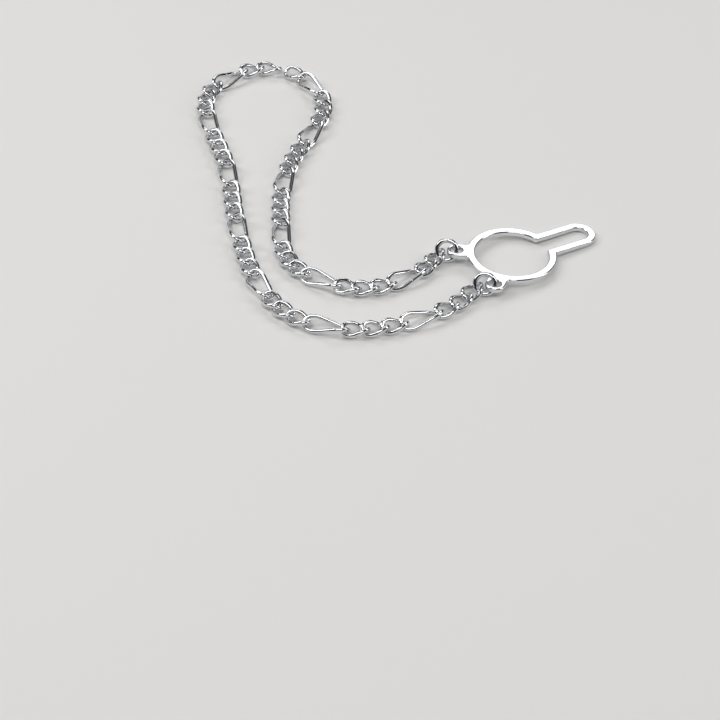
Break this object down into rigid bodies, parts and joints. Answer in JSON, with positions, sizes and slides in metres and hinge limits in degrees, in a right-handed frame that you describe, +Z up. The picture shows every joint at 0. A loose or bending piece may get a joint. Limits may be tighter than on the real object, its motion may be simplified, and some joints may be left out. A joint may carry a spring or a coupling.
{
  "type": "tie chain",
  "caption": "Fine curb chain of small and long twisted links, closed through two jump rings on a keyhole loop that goes over a shirt button and holds the chain in front of a necktie.",
  "frame": {"origin": "centre of the round button opening, at the middle of the loop's thickness", "axes": "+Z up from the table that the chain lies on; the button loop's slot points to heading 47.5 degrees from +X towards +Y, and the chain lies towards -X and +Y"},
  "size_m": [0.0776, 0.0719, 0.0035],
  "materials": {
    "button_loop_metal": "polished",
    "jump_ring_metal": "polished",
    "link_metal": "polished"
  },
  "bodies": {
    "button_loop": {"button_loop": "button_loop_metal"},
    "outer_jump_ring": {"outer_jump_ring": "jump_ring_metal"},
    "outer_01_small": {"outer_01_small": "link_metal"},
    "outer_02_small": {"outer_02_small": "link_metal"},
    "outer_03_small": {"outer_03_small": "link_metal"},
    "outer_04_long": {"outer_04_long": "link_metal"},
    "outer_05_small": {"outer_05_small": "link_metal"},
    "outer_06_small": {"outer_06_small": "link_metal"},
    "outer_07_small": {"outer_07_small": "link_metal"},
    "outer_08_long": {"outer_08_long": "link_metal"},
    "outer_09_small": {"outer_09_small": "link_metal"},
    "outer_10_small": {"outer_10_small": "link_metal"},
    "outer_11_small": {"outer_11_small": "link_metal"},
    "outer_12_long": {"outer_12_long": "link_metal"},
    "outer_13_small": {"outer_13_small": "link_metal"},
    "outer_14_small": {"outer_14_small": "link_metal"},
    "outer_15_small": {"outer_15_small": "link_metal"},
    "outer_16_long": {"outer_16_long": "link_metal"},
    "outer_17_small": {"outer_17_small": "link_metal"},
    "outer_18_small": {"outer_18_small": "link_metal"},
    "outer_19_small": {"outer_19_small": "link_metal"},
    "outer_20_long": {"outer_20_long": "link_metal"},
    "outer_21_small": {"outer_21_small": "link_metal"},
    "outer_22_small": {"outer_22_small": "link_metal"},
    "outer_23_small": {"outer_23_small": "link_metal"},
    "outer_24_long": {"outer_24_long": "link_metal"},
    "outer_25_small": {"outer_25_small": "link_metal"},
    "outer_26_small": {"outer_26_small": "link_metal"},
    "outer_27_small": {"outer_27_small": "link_metal"},
    "outer_28_long": {"outer_28_long": "link_metal"},
    "outer_29_small": {"outer_29_small": "link_metal"},
    "outer_30_small": {"outer_30_small": "link_metal"},
    "inner_jump_ring": {"inner_jump_ring": "jump_ring_metal"},
    "inner_01_small": {"inner_01_small": "link_metal"},
    "inner_02_small": {"inner_02_small": "link_metal"},
    "inner_03_long": {"inner_03_long": "link_metal"},
    "inner_04_small": {"inner_04_small": "link_metal"},
    "inner_05_small": {"inner_05_small": "link_metal"},
    "inner_06_small": {"inner_06_small": "link_metal"},
    "inner_07_long": {"inner_07_long": "link_metal"},
    "inner_08_small": {"inner_08_small": "link_metal"},
    "inner_09_small": {"inner_09_small": "link_metal"},
    "inner_10_small": {"inner_10_small": "link_metal"},
    "inner_11_long": {"inner_11_long": "link_metal"},
    "inner_12_small": {"inner_12_small": "link_metal"},
    "inner_13_small": {"inner_13_small": "link_metal"},
    "inner_14_small": {"inner_14_small": "link_metal"},
    "inner_15_long": {"inner_15_long": "link_metal"},
    "inner_16_small": {"inner_16_small": "link_metal"},
    "inner_17_small": {"inner_17_small": "link_metal"},
    "inner_18_small": {"inner_18_small": "link_metal"},
    "inner_19_long": {"inner_19_long": "link_metal"},
    "inner_20_small": {"inner_20_small": "link_metal"},
    "inner_21_small": {"inner_21_small": "link_metal"},
    "inner_22_small": {"inner_22_small": "link_metal"},
    "inner_23_long": {"inner_23_long": "link_metal"},
    "inner_24_small": {"inner_24_small": "link_metal"}
  },
  "joints": [
    {"name": "outer_jump_ring_swing", "type": "hinge", "parent": "button_loop", "child": "outer_jump_ring", "pos_m": [-0.00178, -0.00928, 0.00039], "axis": [0.1147, -0.9934, 0], "range_deg": [-20, 19]},
    {"name": "outer_01_small_hinge", "type": "hinge", "parent": "outer_jump_ring", "child": "outer_01_small", "pos_m": [-0.00371, -0.00969, 0.0002], "axis": [0.2433, -0.5427, -0.8039], "range_deg": [-10, 0]},
    {"name": "outer_02_small_hinge", "type": "hinge", "parent": "outer_01_small", "child": "outer_02_small", "pos_m": [-0.00444, -0.01294, -0.00035], "axis": [-0.6747, 0.1673, 0.7189], "range_deg": [0, 20]},
    {"name": "outer_03_small_hinge", "type": "hinge", "parent": "outer_02_small", "child": "outer_03_small", "pos_m": [-0.00529, -0.01483, -0.00032], "axis": [-0.5721, 0.4156, -0.7071], "range_deg": [-20, 0]},
    {"name": "outer_04_long_hinge", "type": "hinge", "parent": "outer_03_small", "child": "outer_04_long", "pos_m": [-0.00775, -0.01822, -0.00032], "axis": [0.5721, -0.4156, -0.7071], "range_deg": [-20, 0]},
    {"name": "outer_05_small_hinge", "type": "hinge", "parent": "outer_04_long", "child": "outer_05_small", "pos_m": [-0.01166, -0.02198, -0.00032], "axis": [0.4056, -0.5792, 0.7071], "range_deg": [0, 20]},
    {"name": "outer_06_small_hinge", "type": "hinge", "parent": "outer_05_small", "child": "outer_06_small", "pos_m": [-0.0151, -0.02439, -0.00032], "axis": [-0.4056, 0.5792, 0.7071], "range_deg": [0, 20]},
    {"name": "outer_07_small_hinge", "type": "hinge", "parent": "outer_06_small", "child": "outer_07_small", "pos_m": [-0.01704, -0.02545, -0.00032], "axis": [-0.2185, 0.6725, -0.7071], "range_deg": [-20, 0]},
    {"name": "outer_08_long_hinge", "type": "hinge", "parent": "outer_07_small", "child": "outer_08_long", "pos_m": [-0.02103, -0.02675, -0.00032], "axis": [0.2185, -0.6725, -0.7071], "range_deg": [-20, 0]},
    {"name": "outer_09_small_hinge", "type": "hinge", "parent": "outer_08_long", "child": "outer_09_small", "pos_m": [-0.02647, -0.02683, -0.00032], "axis": [-0.183, -0.683, 0.7071], "range_deg": [0, 20]},
    {"name": "outer_10_small_hinge", "type": "hinge", "parent": "outer_09_small", "child": "outer_10_small", "pos_m": [-0.03053, -0.02575, -0.00032], "axis": [0.183, 0.683, 0.7071], "range_deg": [0, 20]},
    {"name": "outer_11_small_hinge", "type": "hinge", "parent": "outer_10_small", "child": "outer_11_small", "pos_m": [-0.03243, -0.0246, -0.00032], "axis": [0.4545, 0.5417, -0.7071], "range_deg": [-20, 0]},
    {"name": "outer_12_long_hinge", "type": "hinge", "parent": "outer_11_small", "child": "outer_12_long", "pos_m": [-0.03565, -0.0219, -0.00032], "axis": [-0.4545, -0.5417, -0.7071], "range_deg": [-20, 0]},
    {"name": "outer_13_small_hinge", "type": "hinge", "parent": "outer_12_long", "child": "outer_13_small", "pos_m": [-0.03919, -0.0178, -0.00032], "axis": [-0.5862, -0.3954, 0.7071], "range_deg": [0, 20]},
    {"name": "outer_14_small_hinge", "type": "hinge", "parent": "outer_13_small", "child": "outer_14_small", "pos_m": [-0.04154, -0.01432, -0.00032], "axis": [0.5862, 0.3954, 0.7071], "range_deg": [0, 20]},
    {"name": "outer_15_small_hinge", "type": "hinge", "parent": "outer_14_small", "child": "outer_15_small", "pos_m": [-0.04261, -0.0124, -0.00032], "axis": [0.6184, 0.3428, -0.7071], "range_deg": [-20, 0]},
    {"name": "outer_16_long_hinge", "type": "hinge", "parent": "outer_15_small", "child": "outer_16_long", "pos_m": [-0.04465, -0.00873, -0.00032], "axis": [-0.6184, -0.3428, -0.7071], "range_deg": [-20, 0]},
    {"name": "outer_17_small_hinge", "type": "hinge", "parent": "outer_16_long", "child": "outer_17_small", "pos_m": [-0.0471, -0.00392, -0.00032], "axis": [-0.6409, -0.2988, 0.7071], "range_deg": [0, 20]},
    {"name": "outer_18_small_hinge", "type": "hinge", "parent": "outer_17_small", "child": "outer_18_small", "pos_m": [-0.04888, -0.00011, -0.00032], "axis": [0.6409, 0.2988, 0.7071], "range_deg": [0, 20]},
    {"name": "outer_19_small_hinge", "type": "hinge", "parent": "outer_18_small", "child": "outer_19_small", "pos_m": [-0.04971, 0.00193, -0.00032], "axis": [0.646, 0.2876, -0.7071], "range_deg": [-20, 0]},
    {"name": "outer_20_long_hinge", "type": "hinge", "parent": "outer_19_small", "child": "outer_20_long", "pos_m": [-0.05142, 0.00576, -0.00032], "axis": [-0.646, -0.2876, -0.7071], "range_deg": [-20, 0]},
    {"name": "outer_21_small_hinge", "type": "hinge", "parent": "outer_20_long", "child": "outer_21_small", "pos_m": [-0.05386, 0.01058, -0.00032], "axis": [-0.6061, -0.3642, 0.7071], "range_deg": [0, 20]},
    {"name": "outer_22_small_hinge", "type": "hinge", "parent": "outer_21_small", "child": "outer_22_small", "pos_m": [-0.05603, 0.01418, -0.00032], "axis": [0.6061, 0.3642, 0.7071], "range_deg": [0, 20]},
    {"name": "outer_23_small_hinge", "type": "hinge", "parent": "outer_22_small", "child": "outer_23_small", "pos_m": [-0.05728, 0.01599, -0.00032], "axis": [0.5862, 0.3954, -0.7071], "range_deg": [-20, 0]},
    {"name": "outer_24_long_hinge", "type": "hinge", "parent": "outer_23_small", "child": "outer_24_long", "pos_m": [-0.05963, 0.01947, -0.00032], "axis": [-0.5862, -0.3954, -0.7071], "range_deg": [-20, 0]},
    {"name": "outer_25_small_hinge", "type": "hinge", "parent": "outer_24_long", "child": "outer_25_small", "pos_m": [-0.06236, 0.02414, -0.00032], "axis": [-0.6556, -0.2649, 0.7071], "range_deg": [0, 20]},
    {"name": "outer_26_small_hinge", "type": "hinge", "parent": "outer_25_small", "child": "outer_26_small", "pos_m": [-0.06394, 0.02803, -0.00032], "axis": [0.6556, 0.2649, 0.7071], "range_deg": [0, 20]},
    {"name": "outer_27_small_hinge", "type": "hinge", "parent": "outer_26_small", "child": "outer_27_small", "pos_m": [-0.06427, 0.03024, -0.00032], "axis": [0.6984, -0.1106, -0.7071], "range_deg": [-20, 3]},
    {"name": "outer_28_long_hinge", "type": "hinge", "parent": "outer_27_small", "child": "outer_28_long", "pos_m": [-0.06361, 0.03439, -0.00032], "axis": [-0.6984, 0.1106, -0.7071], "range_deg": [-20, 0]},
    {"name": "outer_29_small_hinge", "type": "hinge", "parent": "outer_28_long", "child": "outer_29_small", "pos_m": [-0.06089, 0.03914, -0.00032], "axis": [-0.4255, 0.5647, 0.7071], "range_deg": [-20, 20]},
    {"name": "outer_30_small_hinge", "type": "hinge", "parent": "outer_29_small", "child": "outer_30_small", "pos_m": [-0.05754, 0.04167, -0.00032], "axis": [0.4255, -0.5647, 0.7071], "range_deg": [-13, 20]},
    {"name": "inner_jump_ring_swing", "type": "hinge", "parent": "button_loop", "child": "inner_jump_ring", "pos_m": [-0.01018, -0.00235, 0.00042], "axis": [0.1114, -0.9938, 0], "range_deg": [-17, 20]},
    {"name": "inner_01_small_hinge", "type": "hinge", "parent": "inner_jump_ring", "child": "inner_01_small", "pos_m": [-0.01211, -0.00277, 0.00019], "axis": [0.251, -0.5409, -0.8028], "range_deg": [0, 20]},
    {"name": "inner_02_small_hinge", "type": "hinge", "parent": "inner_01_small", "child": "inner_02_small", "pos_m": [-0.01239, -0.00602, -0.00028], "axis": [-0.77, 0.1056, 0.6292], "range_deg": [-12, 20]},
    {"name": "inner_03_long_hinge", "type": "hinge", "parent": "inner_02_small", "child": "inner_03_long", "pos_m": [-0.01291, -0.00745, -0.00032], "axis": [-0.5721, 0.4156, -0.7071], "range_deg": [0, 13]},
    {"name": "inner_04_small_hinge", "type": "hinge", "parent": "inner_03_long", "child": "inner_04_small", "pos_m": [-0.01726, -0.01343, -0.00032], "axis": [0.5721, -0.4156, -0.7071], "range_deg": [0, 20]},
    {"name": "inner_05_small_hinge", "type": "hinge", "parent": "inner_04_small", "child": "inner_05_small", "pos_m": [-0.0187, -0.01459, -0.00032], "axis": [0.2418, -0.6645, 0.7071], "range_deg": [-11, 0]},
    {"name": "inner_06_small_hinge", "type": "hinge", "parent": "inner_05_small", "child": "inner_06_small", "pos_m": [-0.02265, -0.01603, -0.00032], "axis": [-0.2418, 0.6645, 0.7071], "range_deg": [-12, 0]},
    {"name": "inner_07_long_hinge", "type": "hinge", "parent": "inner_06_small", "child": "inner_07_long", "pos_m": [-0.02449, -0.01623, -0.00032], "axis": [0.1591, 0.689, -0.7071], "range_deg": [0, 20]},
    {"name": "inner_08_small_hinge", "type": "hinge", "parent": "inner_07_long", "child": "inner_08_small", "pos_m": [-0.0317, -0.01456, -0.00032], "axis": [-0.1591, -0.689, -0.7071], "range_deg": [0, 20]},
    {"name": "inner_09_small_hinge", "type": "hinge", "parent": "inner_08_small", "child": "inner_09_small", "pos_m": [-0.03335, -0.01372, -0.00032], "axis": [-0.5086, -0.4912, 0.7071], "range_deg": [-11, 0]},
    {"name": "inner_10_small_hinge", "type": "hinge", "parent": "inner_09_small", "child": "inner_10_small", "pos_m": [-0.03627, -0.0107, -0.00032], "axis": [0.5086, 0.4912, 0.7071], "range_deg": [-12, 0]},
    {"name": "inner_11_long_hinge", "type": "hinge", "parent": "inner_10_small", "child": "inner_11_long", "pos_m": [-0.03713, -0.0091, -0.00032], "axis": [0.6645, 0.2418, -0.7071], "range_deg": [0, 20]},
    {"name": "inner_12_small_hinge", "type": "hinge", "parent": "inner_11_long", "child": "inner_12_small", "pos_m": [-0.03966, -0.00214, -0.00032], "axis": [-0.6645, -0.2418, -0.7071], "range_deg": [0, 20]},
    {"name": "inner_13_small_hinge", "type": "hinge", "parent": "inner_12_small", "child": "inner_13_small", "pos_m": [-0.04025, -0.00044, -0.00032], "axis": [-0.6725, -0.2185, 0.7071], "range_deg": [-20, 0]},
    {"name": "inner_14_small_hinge", "type": "hinge", "parent": "inner_13_small", "child": "inner_14_small", "pos_m": [-0.04155, 0.00355, -0.00032], "axis": [0.6725, 0.2185, 0.7071], "range_deg": [-19, 0]},
    {"name": "inner_15_long_hinge", "type": "hinge", "parent": "inner_14_small", "child": "inner_15_long", "pos_m": [-0.04205, 0.00529, -0.00032], "axis": [0.6964, 0.1228, -0.7071], "range_deg": [0, 20]},
    {"name": "inner_16_small_hinge", "type": "hinge", "parent": "inner_15_long", "child": "inner_16_small", "pos_m": [-0.04334, 0.01257, -0.00032], "axis": [-0.6964, -0.1228, -0.7071], "range_deg": [0, 20]},
    {"name": "inner_17_small_hinge", "type": "hinge", "parent": "inner_16_small", "child": "inner_17_small", "pos_m": [-0.04343, 0.01438, -0.00032], "axis": [-0.7067, 0.0247, 0.7071], "range_deg": [-18, 0]},
    {"name": "inner_18_small_hinge", "type": "hinge", "parent": "inner_17_small", "child": "inner_18_small", "pos_m": [-0.04329, 0.01858, -0.00032], "axis": [0.7067, -0.0247, 0.7071], "range_deg": [-19, 0]},
    {"name": "inner_19_long_hinge", "type": "hinge", "parent": "inner_18_small", "child": "inner_19_long", "pos_m": [-0.04308, 0.02057, -0.00032], "axis": [0.7054, -0.0493, -0.7071], "range_deg": [0, 20]},
    {"name": "inner_20_small_hinge", "type": "hinge", "parent": "inner_19_long", "child": "inner_20_small", "pos_m": [-0.04256, 0.02795, -0.00032], "axis": [-0.7054, 0.0493, -0.7071], "range_deg": [0, 20]},
    {"name": "inner_21_small_hinge", "type": "hinge", "parent": "inner_20_small", "child": "inner_21_small", "pos_m": [-0.04259, 0.03016, -0.00032], "axis": [-0.689, -0.1591, 0.7071], "range_deg": [-20, 20]},
    {"name": "inner_22_small_hinge", "type": "hinge", "parent": "inner_21_small", "child": "inner_22_small", "pos_m": [-0.04354, 0.03425, -0.00032], "axis": [0.689, 0.1591, 0.7071], "range_deg": [-20, 3]},
    {"name": "inner_23_long_hinge", "type": "hinge", "parent": "inner_22_small", "child": "inner_23_long", "pos_m": [-0.04461, 0.03623, -0.00032], "axis": [0.4731, 0.5255, -0.7071], "range_deg": [-20, 20]},
    {"name": "inner_24_small_hinge", "type": "hinge", "parent": "inner_23_long", "child": "inner_24_small", "pos_m": [-0.05011, 0.04118, -0.00032], "axis": [-0.4731, -0.5255, -0.7071], "range_deg": [-20, 20]}
  ]
}
